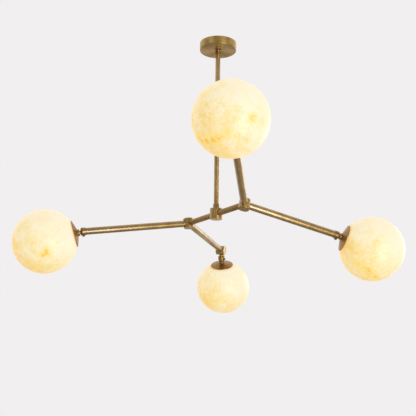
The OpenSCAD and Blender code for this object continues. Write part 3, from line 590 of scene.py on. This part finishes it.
def new_piece(name, points):
    """A piece that holds only points so far, in millimetres."""
    mesh = bpy.data.meshes.new(name)
    mesh.from_pydata([tuple(p) for p in points], [], [])
    piece = bpy.data.objects.new(name, mesh)
    bpy.context.scene.collection.objects.link(piece)
    return piece


def run_tree(piece, tree, **values):
    """Puts a geometry tree on a piece, with its inputs set by their sockets' identifiers."""
    modifier = piece.modifiers.new(tree.name, "NODES")
    modifier.node_group = tree
    for item in tree.interface.items_tree:
        label = item.name.replace(" ", "_")
        if item.in_out == "INPUT" and label in values:
            modifier[item.identifier] = values[label]
    return piece


def settle(piece):
    """Makes what a piece's modifiers give its own plain mesh, and takes the modifiers off."""
    bpy.context.view_layer.update()
    ready = piece.evaluated_get(bpy.context.evaluated_depsgraph_get())
    made = bpy.data.meshes.new_from_object(ready)
    piece.modifiers.clear()
    rough = piece.data
    piece.data = made
    bpy.data.meshes.remove(rough)
    return piece


def put(piece, where):
    """Moves a piece's mesh from its own frame, in millimetres, to its place, faces outward."""
    piece.data.transform(Matrix.Scale(MM, 4) @ where)
    shell = bmesh.new()
    shell.from_mesh(piece.data)
    bmesh.ops.recalc_face_normals(shell, faces=shell.faces)
    shell.to_mesh(piece.data)
    shell.free()
    return piece


def stand_in(piece, slot, *nodes):
    """A finished piece takes the place of its solids, on the body that they ride on."""
    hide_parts(*nodes)
    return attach(piece, BODY_OF[nodes[0]])


def bend(centre_x, radius, start, end, steps):
    """Corners along an arc about a point of the axis, between two angles, 0 being outward."""
    angles = [math.radians(start + (end - start) * i / steps) for i in range(steps + 1)]
    return [(radius * math.cos(a), centre_x + radius * math.sin(a)) for a in angles]


def outline(corners, ring):
    """Corners (radius, along, softening) as points, each softened corner as a small arc."""
    points = []
    count = len(corners)
    for i, corner in enumerate(corners):
        here = Vector((corner[1], corner[0]))
        soft = corner[2] if len(corner) > 2 else 0
        if not soft or (not ring and i in (0, count - 1)):
            points.append(here)
            continue
        before = Vector(corners[i - 1][:2]).yx - here
        after = Vector(corners[(i + 1) % count][:2]).yx - here
        half = before.angle(after) / 2
        back = min(soft / math.tan(half), before.length * 0.45, after.length * 0.45)
        start, end = here + before.normalized() * back, here + after.normalized() * back
        for k in range(5):
            t = k / 4
            points.append(start * (1 - t) ** 2 + here * 2 * t * (1 - t) + end * t ** 2)
    if ring:
        points.append(points[0])
    return [(p.x, p.y, 0.0) for p in points]


def groove(radius, middle, width):
    """Corners of the groove round a tube or spigot in which a set screw runs."""
    floor_r, half = radius - groove_depth, width / 2
    return [(radius, middle - half), (floor_r, middle - half), (floor_r, middle + half),
            (radius, middle + half)]


def turned(name, corners, finish, where, ring=True, sides=96):
    """A turned piece, from the corners of its outline. A ring's outline closes on itself."""
    piece = new_piece(name, outline(corners, ring))
    run_tree(piece, TURNED, Sides=sides, Finish=finish)
    return put(settle(piece), where)


def drill(piece, cutter):
    """Cuts one piece's shape out of another, then drops the cutter and sharpens the new corners."""
    cut = piece.modifiers.new("drilled", "BOOLEAN")
    cut.operation, cut.solver, cut.object = "DIFFERENCE", "EXACT", cutter
    settle(piece)
    bpy.data.objects.remove(cutter)
    return shaded(piece)


def shaded(piece):
    """Smooth faces, with sharp edges where two of them meet at a corner."""
    shell = bmesh.new()
    shell.from_mesh(piece.data)
    for face in shell.faces:
        face.smooth = True
    for edge in shell.edges:
        edge.smooth = len(edge.link_faces) == 2 and edge.calc_face_angle(0.0) < CORNER
    shell.to_mesh(piece.data)
    shell.free()
    return piece


def box_piece(name, low, high):
    """A plain block, used only to cut slots."""
    block = new_piece(name, [])
    shell = bmesh.new()
    bmesh.ops.create_cube(shell, size=1)
    for vertex in shell.verts:
        vertex.co = Vector([low[i] if vertex.co[i] < 0 else high[i] for i in range(3)])
    shell.to_mesh(block.data)
    shell.free()
    return block


def from_solid(name, node, finish, slot):
    """A smooth piece with a solid's own shape, whose loose triangles are first joined up."""
    source = frame["nodes"][node]
    mesh = source.data.copy()
    mesh.name = name
    for spare in ("custom_normal", "sharp_edge", "sharp_face"):
        if spare in mesh.attributes:
            mesh.attributes.remove(mesh.attributes[spare])
    shell = bmesh.new()
    shell.from_mesh(mesh)
    bmesh.ops.remove_doubles(shell, verts=shell.verts, dist=2e-6)
    bmesh.ops.dissolve_limit(shell, angle_limit=math.radians(0.2), verts=shell.verts,
                             edges=shell.edges)
    shell.to_mesh(mesh)
    shell.free()
    mesh.materials.clear()
    mesh.materials.append(finish)
    piece = bpy.data.objects.new(name, mesh)
    bpy.context.scene.collection.objects.link(piece)
    return stand_in(shaded(piece), slot, node)


def paint(node, finish):
    """Gives a solid that keeps its own shape its finish."""
    for place in frame["nodes"][node].material_slots:
        place.material = finish


# ---------------------------------------------------------------------------------------------
# Ceiling

on_ceiling = ceiling @ UPRIGHT
canopy_brass = aged_brass("aged brass, spun canopy", on_ceiling, "turned", dark="#92723A",
                          mid="#BD9A56", light="#D8BA7A", seed=4, rough=0.42, lacquer=0.2)
screw_z = -EAR_H * 0.6
head_r, head_h = SCREW_D * 0.95, CANOPY_WALL - HEAD_LAND
side_screw = {side: turn(180 if side == "left" else 0, "Z")
              @ shift(x=canopy_r - SCREW_SINK, z=screw_z)
              @ turn(180, "Z") for side in ("left", "right")}

canopy = turned("canopy_cup", [
    (seat_spigot_r + RUN_FIT, -CANOPY_H, 0.3), (canopy_r, -CANOPY_H, CANOPY_EDGE),
    (canopy_r, -SKIN, 0.3),
    (canopy_in_r, -SKIN, 0.3), (canopy_in_r, canopy_floor, 1),
    (seat_spigot_r + RUN_FIT, canopy_floor, 0.3)],
    canopy_brass, on_ceiling, sides=160)
for side, where in side_screw.items():
    hole = turned(side + "_hole", [
        (0, -CUT), (head_r + SET_FIT, -CUT), (head_r + SET_FIT, 0), (SCREW_D / 2 + SET_FIT, head_h),
        (SCREW_D / 2 + SET_FIT, CANOPY_WALL + CUT), (0, CANOPY_WALL + CUT)],
        canopy_brass, where, ring=False, sides=40)
    drill(canopy, hole)
stand_in(canopy, "brass", "canopy")


fixing_brass = aged_brass("aged brass, small screws", on_ceiling, "turned", dark="#6E5430",
                          mid="#8F6F42", light="#B08B58", seed=9, rough=0.3)
screws = []
for side, where in side_screw.items():
    screw = turned(side + "_canopy_screw", [
        (0, 0), (head_r, 0, 0.3), (SCREW_D / 2, head_h), (SCREW_D / 2, SCREW_LEN, 0.4),
        (0, SCREW_LEN)],
        fixing_brass, where, ring=False, sides=40)
    slot = put(box_piece(side + "_slot", (-CUT / 2, -SLOT_W / 2, -6), (SLOT_W, SLOT_W / 2, 6)),
               where)
    screws.append(drill(screw, slot))
with bpy.context.temp_override(active_object=screws[0], selected_editable_objects=screws):
    bpy.ops.object.join()
screws[0].name = "canopy_screws"
stand_in(screws[0], "dark_brass", "bracket_screws")

from_solid("swivel_seat_ring", "swivel_seat", fixing_brass, "dark_brass")
rod_brass = aged_brass("aged brass, drawn rod", on_ceiling, "drawn", dark="#85652E", mid="#B38F4C",
                       light="#D2B06C", seed=14, rough=0.42)
turned_rod_brass = aged_brass("aged brass, turned rod fittings", on_ceiling, "turned",
                              dark="#785A2A",
                              mid="#A47E42", light="#C8A466", seed=16, rough=0.42, lacquer=0.5)
from_solid("swivel_ball_and_neck", "swivel_ball", turned_rod_brass, "brass")
rod_r, bore_r = ROD_D / 2, ROD_D / 2 - ROD_WALL
stand_in(turned("rod_top_collar", [
    (SWIVEL_NECK_D / 2 + SET_FIT, collar_top, 0.3), (ROD_COLLAR_D / 2, collar_top, 0.8),
    (ROD_COLLAR_D / 2, collar_top - ROD_COLLAR_H, 0.3),
    (rod_r + SET_FIT, collar_top - ROD_COLLAR_H),
    (rod_r + SET_FIT, rod_top), (SWIVEL_NECK_D / 2 + SET_FIT, rod_top)],
    turned_rod_brass, on_ceiling), "brass", "rod_collar")
stand_in(turned("down_tube", [
    (bore_r, rod_foot), (rod_r, rod_foot, 0.2), (rod_r, rod_top, 0.2),
    (THREAD_D / 2 + SET_FIT, rod_top),
    (THREAD_D / 2 + SET_FIT, rod_top - ROD_PLUG), (bore_r, rod_top - ROD_PLUG)],
    rod_brass, on_ceiling), "brass", "downrod")
coupler_foot = -DROP + CENTRE_HUB_H / 2
stand_in(turned("rod_foot_coupler", [
    (THREAD_D / 2, coupler_foot - COUPLER_SPIGOT),
    (COUPLER_SPIGOT_D / 2, coupler_foot - COUPLER_SPIGOT, 0.4),
    (COUPLER_SPIGOT_D / 2, coupler_foot),
    (COUPLER_D / 2, coupler_foot, 0.25), (COUPLER_D / 2, coupler_foot + COUPLER_H, 0.8),
    (rod_r + SET_FIT, coupler_foot + COUPLER_H, 0.2),
    (rod_r + SET_FIT, coupler_foot + COUPLER_H - COUPLER_SOCKET),
    (THREAD_D / 2, coupler_foot + COUPLER_H - COUPLER_SOCKET)],
    turned_rod_brass, on_ceiling), "brass", "rod_coupler")

paint("ceiling_bracket", zinc_steel)
paint("earth_screw", green_steel)
paint("terminal_block", block_plastic)

# ---------------------------------------------------------------------------------------------
# Hubs and cross bar

hub_frames = {"centre_hub": at_bar @ UPRIGHT, "left_hub": left_hub_tilt @ UPRIGHT,
              "right_hub": right_hub_tilt @ UPRIGHT, "elbow_hub": at_elbow @ turn(90, "Z")}
caps = {"centre_hub": "centre_hub_cap", "left_hub": "left_hub_cap", "right_hub": "right_hub_cap",
        "elbow_hub": "elbow_cap"}
for seed, (node, where) in enumerate(hub_frames.items()):
    centre = node == "centre_hub"
    hub_r, hub_h, cavity_r = (
        (CENTRE_HUB_D / 2, CENTRE_HUB_H, CENTRE_CAVITY_R) if centre
        else (HUB_D / 2, HUB_H, HUB_CAVITY_R))
    hub_brass = aged_brass("aged brass, turned " + node, where, "turned", dark="#86672F",
                           mid="#B49150",
                           light="#D4B372", seed=20 + seed, rough=0.42, lacquer=0.5)
    cap_brass = aged_brass("aged brass, turned " + caps[node], where, "turned", dark="#866631",
                           mid="#B4914F", light="#D6B574", seed=30 + seed, rough=0.4, lacquer=0.5)
    from_solid(node.replace("hub", "hub_body"), node, hub_brass, "brass")
    foot = -hub_h / 2
    stand_in(turned(caps[node] + "_turned", [
        (0, foot + DISH_DEPTH), (hub_r - DISH_IN, foot + DISH_DEPTH), (hub_r - DISH_OUT, foot),
        (hub_r, foot, HUB_EDGE),
        (hub_r, foot + CAP_H, 0.25), (cavity_r - SET_FIT, foot + CAP_H),
        (cavity_r - SET_FIT, foot + CAP_H + CAP_SPIGOT, 0.3), (0, foot + CAP_H + CAP_SPIGOT)],
        cap_brass, where, ring=False), "dark_brass", caps[node])

bar_brass = aged_brass("aged brass, drawn cross bar", at_bar, "drawn", dark="#765520",
                       mid="#A07B35",
                       light="#C29C54", seed=40, rough=0.42, lacquer=0.3)
bar_from, bar_to = -BAR_LEFT + BAR_END_GAP, BAR_RIGHT - BAR_END_GAP
bar_r, bar_in_r = BAR_D / 2, BAR_D / 2 - BAR_WALL
bar = turned("cross_bar_tube", [(bar_in_r, bar_from, 0.2), (bar_r, bar_from, 0.2)]
             + groove(bar_r, -BAR_LEFT + GRUB_X, GROOVE_W)
             + groove(bar_r, BAR_RIGHT - GRUB_X, GROOVE_W)
             + [(bar_r, bar_to, 0.2), (bar_in_r, bar_to, 0.2)], bar_brass, at_bar)
window = turned("wire_window", [(0, 0), (WINDOW_D / 2, 0), (WINDOW_D / 2, BAR_D), (0, BAR_D)],
                bar_brass, at_bar @ UPRIGHT, ring=False, sides=40)
stand_in(drill(bar, window), "brass", "cross_bar")


def set_screws(name, places, where, node, radius):
    """Set screws with six-sided sockets, one at each place."""
    piece = new_piece(name, places)
    run_tree(piece, SET_SCREWS, Screw_Radius=radius, Length=GRUB_H,
             Socket_Radius=radius * HEX_SHARE,
             Socket_Depth=HEX_DEPTH, Finish=black_steel)
    return stand_in(put(settle(piece), where), "grub_steel", node)


set_screws("centre_set_screws", [(-CENTRE_GRUB_X, 0, bar_r), (CENTRE_GRUB_X, 0, bar_r)], at_bar,
           "bar_screws", GRUB_D / 2)
groove_top = bar_r - groove_depth + FACE_GAP
set_screws("left_set_screw", [(GRUB_X, 0, groove_top)], left_hub, "left_hub_screw", GRUB_D / 2)
set_screws("right_set_screw", [(-GRUB_X, 0, groove_top)], right_hub, "right_hub_screw", GRUB_D / 2)
set_screws("elbow_set_screw", [(-ELBOW_GRUB_X, 0, spigot_r - groove_depth + FACE_GAP)], at_elbow,
           "elbow_screw", ELBOW_GRUB_D / 2)

# ---------------------------------------------------------------------------------------------
# Arms, and the elbow's stem


def arm_foot():
    """The threaded plug at the foot of an arm, up to the tube's outer corner."""
    return [(WIRE_D / 2, plug_start), (THREAD_D / 2, plug_start, 0.5), (THREAD_D / 2, arm_face),
            (ARM_D / 2, arm_face, 0.3)]


straight_arms = [("left", on_left_arm, LEFT_ARM), ("right", on_right_arm, RIGHT_ARM),
                 ("near", on_near_arm, NEAR_ARM)]
for seed, (side, where, arm) in enumerate(straight_arms):
    arm_brass = aged_brass(f"aged brass, drawn {side} arm", where, "drawn", seed=50 + seed)
    to = arm["reach"] + tube_end
    stand_in(turned(side + "_arm_tube", arm_foot() + [
        (ARM_D / 2, to, 0.2), (arm_in_r, to, 0.2), (arm_in_r, arm_face + plug_h),
        (WIRE_D / 2, arm_face + plug_h)], arm_brass, where), "brass", side + "_arm")

far_brass = aged_brass("aged brass, drawn far arm", on_far_arm, "drawn", seed=55)
reach = FAR_ARM["reach"]
tube_to = reach - arm_face - FACE_GAP
stand_in(turned("far_arm_tube", arm_foot() + [(ARM_D / 2, tube_to, 0.2), (spigot_r, tube_to)]
                + groove(spigot_r, reach - ELBOW_GRUB_X, ELBOW_GROOVE_W) + [
                    (spigot_r, reach - spigot_end, 0.3), (WIRE_D / 2, reach - spigot_end),
                    (WIRE_D / 2, tube_to - plug_h), (arm_in_r, tube_to - plug_h),
                    (arm_in_r, arm_face + plug_h), (WIRE_D / 2, arm_face + plug_h)],
                far_brass, on_far_arm), "brass", "far_arm")

stem_brass = aged_brass("aged brass, turned stem", on_stem, "turned", dark="#805F2A", mid="#AC8747",
                        light="#D0AE6C", seed=58, rough=0.4, lacquer=0.5)
cup_back, cup_front = STEM_REACH - COLLAR_BACK - STEM_CUP, STEM_REACH + tube_end
cup_edge = math.degrees(math.asin(-tube_end / seat_ball_r))
wire_edge = math.degrees(math.acos(WIRE_D / 2 / seat_ball_r))
stand_in(turned("stem_turned", [
    (WIRE_D / 2, STEM_START), (STEM_D / 2, STEM_START), (STEM_D / 2, cup_back - STEM_FLARE, 1.2),
    (ARM_D / 2, cup_back, 0.4),
    (ARM_D / 2, cup_front)] + bend(STEM_REACH, seat_ball_r, -cup_edge, -wire_edge, 12),
    stem_brass, on_stem), "brass", "elbow_stem")

# ---------------------------------------------------------------------------------------------
# Globe holders and globes

THUMB_ANGLE = {"left": 0, "far": -75, "right": 0, "near": 0}

for seed, side in enumerate(SIDES):
    end, lamp = arm_end[side], hang[side]
    holder_brass = aged_brass(f"aged brass, turned {side} holder", lamp, "turned", dark="#7C5A2A",
                              mid="#A57E40", light="#CAA664", seed=60 + seed, rough=0.4,
                              lacquer=0.5)
    from_solid(side + "_collar_ring", side + "_collar", holder_brass, "brass")

    # Neck: the ball that tilts in the collar, its shank, and the foot that carries the plate
    ball_end = math.degrees(math.acos(WIRE_D / 2 / ball_r))
    shank = math.degrees(math.acos(neck_in_r / ball_r))
    stand_in(turned(side + "_neck_turned", bend(0, ball_r, -ball_end, shank, 24) + [
        (neck_in_r, neck_start), (NECK_D / 2, neck_start, 1.5), (NECK_D / 2, NECK_REACH, 0.2),
        (THREAD_D / 2, NECK_REACH), (THREAD_D / 2, seat_x, 0.4), (WIRE_D / 2, seat_x)],
        holder_brass, lamp), "brass", side + "_neck")

    # Plate: a shallow cone of 2 mm brass with a rolled rim, and the spigot inside the globe's mouth
    flat_r, plate_r = NECK_D / 2 + PLATE_STEP, PLATE_D / 2
    slope = PLATE_RISE / (plate_r - flat_r)
    inner_r, hole_r = plate_spigot_r - PLATE_SPIGOT_WALL, THREAD_D / 2 + SET_FIT
    inside_x = NECK_REACH + PLATE_T
    plate_brass = aged_brass(f"aged brass, spun {side} plate", lamp, "turned", dark="#7E5C2A",
                             mid="#A88045", light="#CDA86A", seed=70 + seed, rough=0.44,
                             lacquer=0.2)
    stand_in(turned(side + "_plate_spun", [
        (hole_r, NECK_REACH), (flat_r, NECK_REACH, 0.6),
        (plate_r - RIM_EDGE, seat_x - slope * RIM_EDGE, 0.25),
        (plate_r, seat_x + RIM_EDGE, 0.4), (plate_r, seat_x + PLATE_T, 0.35),
        (LAND_D / 2 + LAND_GAP, seat_x),
        (plate_spigot_r, seat_x), (plate_spigot_r, seat_x + PLATE_SPIGOT_H, 0.3),
        (inner_r, seat_x + PLATE_SPIGOT_H, 0.3),
        (inner_r, inside_x + slope * (inner_r - flat_r)), (flat_r, inside_x), (hole_r, inside_x)],
        plate_brass, lamp, sides=128), "brass", side + "_plate")

    stand_in(turned(side + "_threaded_ring", [
        (sleeve_in_r, seat_x), (LAND_D / 2 - RING_INSET, seat_x, 0.15),
        (LAND_D / 2 - RING_INSET, land_x, 0.15),
        (sleeve_r, land_x), (sleeve_r, land_x + SLEEVE_H, 0.4),
        (sleeve_in_r, land_x + SLEEVE_H, 0.4)],
        turned_aluminium, lamp), "ring_aluminium", side + "_globe_ring")

    globe = run_tree(new_piece(side + "_alabaster_globe", []), GLOBE,
                     Globe_Radius=GLOBE_D / 2 - SKIN,
                     Finish=lit_alabaster(f"lit alabaster, {side} globe", lamp, RUST[side],
                                          3.1 * seed + 1))
    stand_in(put(settle(globe), lamp @ shift(x=globe_x)), "alabaster", side + "_globe")

    # Thumb screw: a small fluted head on a plain shank
    base = COLLAR_D / 2 + THUMB_GAP
    screw_frame = end @ turn(THUMB_ANGLE[side], "X") @ FACING_DOWN
    screw_brass = aged_brass(f"aged brass, {side} thumb screw", screw_frame, "turned",
                             dark="#6E4E22",
                             mid="#947036", light="#BC965A", seed=80 + seed, rough=0.4, lacquer=0.4)
    thumb = new_piece(side + "_thumb_screw_fluted", outline([
        (0, seat_ball_r), (SCREW_D / 2, seat_ball_r, 0.3), (SCREW_D / 2, base),
        (THUMB_D / 2, base, THUMB_EDGE), (THUMB_D / 2, base + THUMB_H / 2),
        (THUMB_D / 2, base + THUMB_H, THUMB_EDGE), (0, base + THUMB_H)], False))
    run_tree(thumb, TURNED, Sides=96, Finish=screw_brass)
    run_tree(thumb, FLUTED, Flutes=FLUTES, Depth=FLUTE_DEPTH, Side_Start=base + FLUTE_INSET,
             Side_End=base + THUMB_H - FLUTE_INSET,
             Side_Radius=THUMB_D / 2 - FLUTE_REACH, Finish=screw_brass)
    stand_in(put(settle(thumb), screw_frame), "dark_brass", side + "_thumb_screw")

    paint(side + "_lampholder", holder_plastic)
    paint(side + "_bulb", frosted_glass)

# ---------------------------------------------------------------------------------------------
# Camera: a long lens from below, looking up at the arms

LENS, SENSOR_W, FAR_CLIP = 64.9, 36, 100
LOOK_UP, ROLL = 13, 0.8
CAMERA_PLACE = (-0.0259, -2.297, -1.0893)

camera = bpy.data.objects.new("camera", bpy.data.cameras.new("camera"))
bpy.context.scene.collection.objects.link(camera)
camera.data.lens, camera.data.sensor_width, camera.data.clip_end = LENS, SENSOR_W, FAR_CLIP
look_up, lean = math.radians(LOOK_UP), math.radians(ROLL)
forward = Vector((0, math.cos(look_up), math.sin(look_up)))
level = Vector((1, 0, 0))
upward = level.cross(forward)
across = level * math.cos(lean) + upward * math.sin(lean)
overhead = upward * math.cos(lean) - level * math.sin(lean)
camera.matrix_world = Matrix.Translation(CAMERA_PLACE) @ Matrix(
    (across, overhead, -forward)).transposed().to_4x4()
bpy.context.scene.camera = camera

# ---------------------------------------------------------------------------------------------
# Studio: a pale surround and floor, and three soft lamps

PALE = "#F1EFF0"
world = bpy.data.worlds.new("pale studio")
bpy.context.scene.world = world
world.use_nodes = True
world.node_tree.nodes.clear()
sky = partial(add, world.node_tree)
rays = sky("ShaderNodeLightPath").outputs
mirrored = sky(MATHS, rays["Is Glossy Ray"], rays["Is Transmission Ray"], operation="MAXIMUM")
_, depth, height = sky(SPLIT, sky("ShaderNodeTexCoord").outputs["Generated"]).outputs
# Metal sees the pale room behind the object, a darker room in front of it, and shade underneath
rising = sky(RAMP, sky(MATHS, height, 0.5, 0.5, operation="MULTIPLY_ADD"),
             stops=[(0.0, "#6A635B"), (0.2, "#9A938B"), (0.32, "#E2DEDB"), (0.46, PALE)])
receding = sky(RAMP, sky(MATHS, depth, 0.5, 0.5, operation="MULTIPLY_ADD"),
               stops=[(0.3, 0.5), (0.62, 1.0)])
room = sky(MIX, {0: 1.0, 6: rising, 7: receding}, data_type="RGBA", blend_type="MULTIPLY")
seen = sky(MIX, {0: mirrored, 6: tone(PALE), 7: room}, data_type="RGBA")
lit = sky("ShaderNodeBackground", {"Color": tone("#F4F2F0"), "Strength": 0.52})
shown = sky("ShaderNodeBackground", {"Color": seen, "Strength": 1.0})
which = sky(MATHS, rays["Is Camera Ray"], mirrored, operation="MAXIMUM")
sky("ShaderNodeOutputWorld", sky("ShaderNodeMixShader", which, lit, shown))


# Metres
LAMP_DISTANCE = 3.0
OBJECT_MIDDLE = Vector((0, 0, -0.55))


def soft_lamp(name, toward, width, height, watts):
    """A soft lamp that faces the middle of the object from one direction."""
    data = bpy.data.lights.new(name, "AREA")
    data.shape, data.size, data.size_y, data.energy = "RECTANGLE", width, height, watts
    lamp = bpy.data.objects.new(name, data)
    way = Vector(toward).normalized()
    lamp.location = OBJECT_MIDDLE + way * LAMP_DISTANCE
    lamp.rotation_euler = way.to_track_quat("Z", "Y").to_euler()
    lamp.visible_camera = False
    bpy.context.scene.collection.objects.link(lamp)


soft_lamp("tall lamp in front, on the right", (0.5, -0.74, -0.38), 1.3, 2.4, 56)
soft_lamp("lamp high in front, on the left", (-0.6, -0.6, 0.53), 1.2, 1.2, 4)
soft_lamp("lamp behind, on the right", (0.7, 0.7, 0.15), 1.2, 1.2, 10)

FLOOR_Z, FLOOR_R = -3.3, 6.0
floor = new_piece("floor", [])
disc = bmesh.new()
bmesh.ops.create_circle(disc, cap_ends=True, segments=96, radius=FLOOR_R)
for vertex in disc.verts:
    vertex.co.z = FLOOR_Z
disc.to_mesh(floor.data)
disc.free()
# Pale floor paint that is seen from above only, so that a view from below looks through it, and
# that the camera sees as light as the room behind
floor_paint, node = new_material("pale floor")
lift = node(MATHS, node("ShaderNodeLightPath").outputs["Is Camera Ray"], 0.52, operation="MULTIPLY")
painted = node("ShaderNodeAddShader", node("ShaderNodeBsdfDiffuse", {"Color": tone("#CDC9C5")}),
               node("ShaderNodeEmission", {"Color": tone(PALE), "Strength": lift}))
one_sided = node("ShaderNodeMixShader", node("ShaderNodeNewGeometry").outputs["Backfacing"],
                 painted,
                 node("ShaderNodeBsdfTransparent"))
node("ShaderNodeOutputMaterial", one_sided)
floor.data.materials.append(floor_paint)

bpy.context.scene.view_settings.view_transform = "Standard"
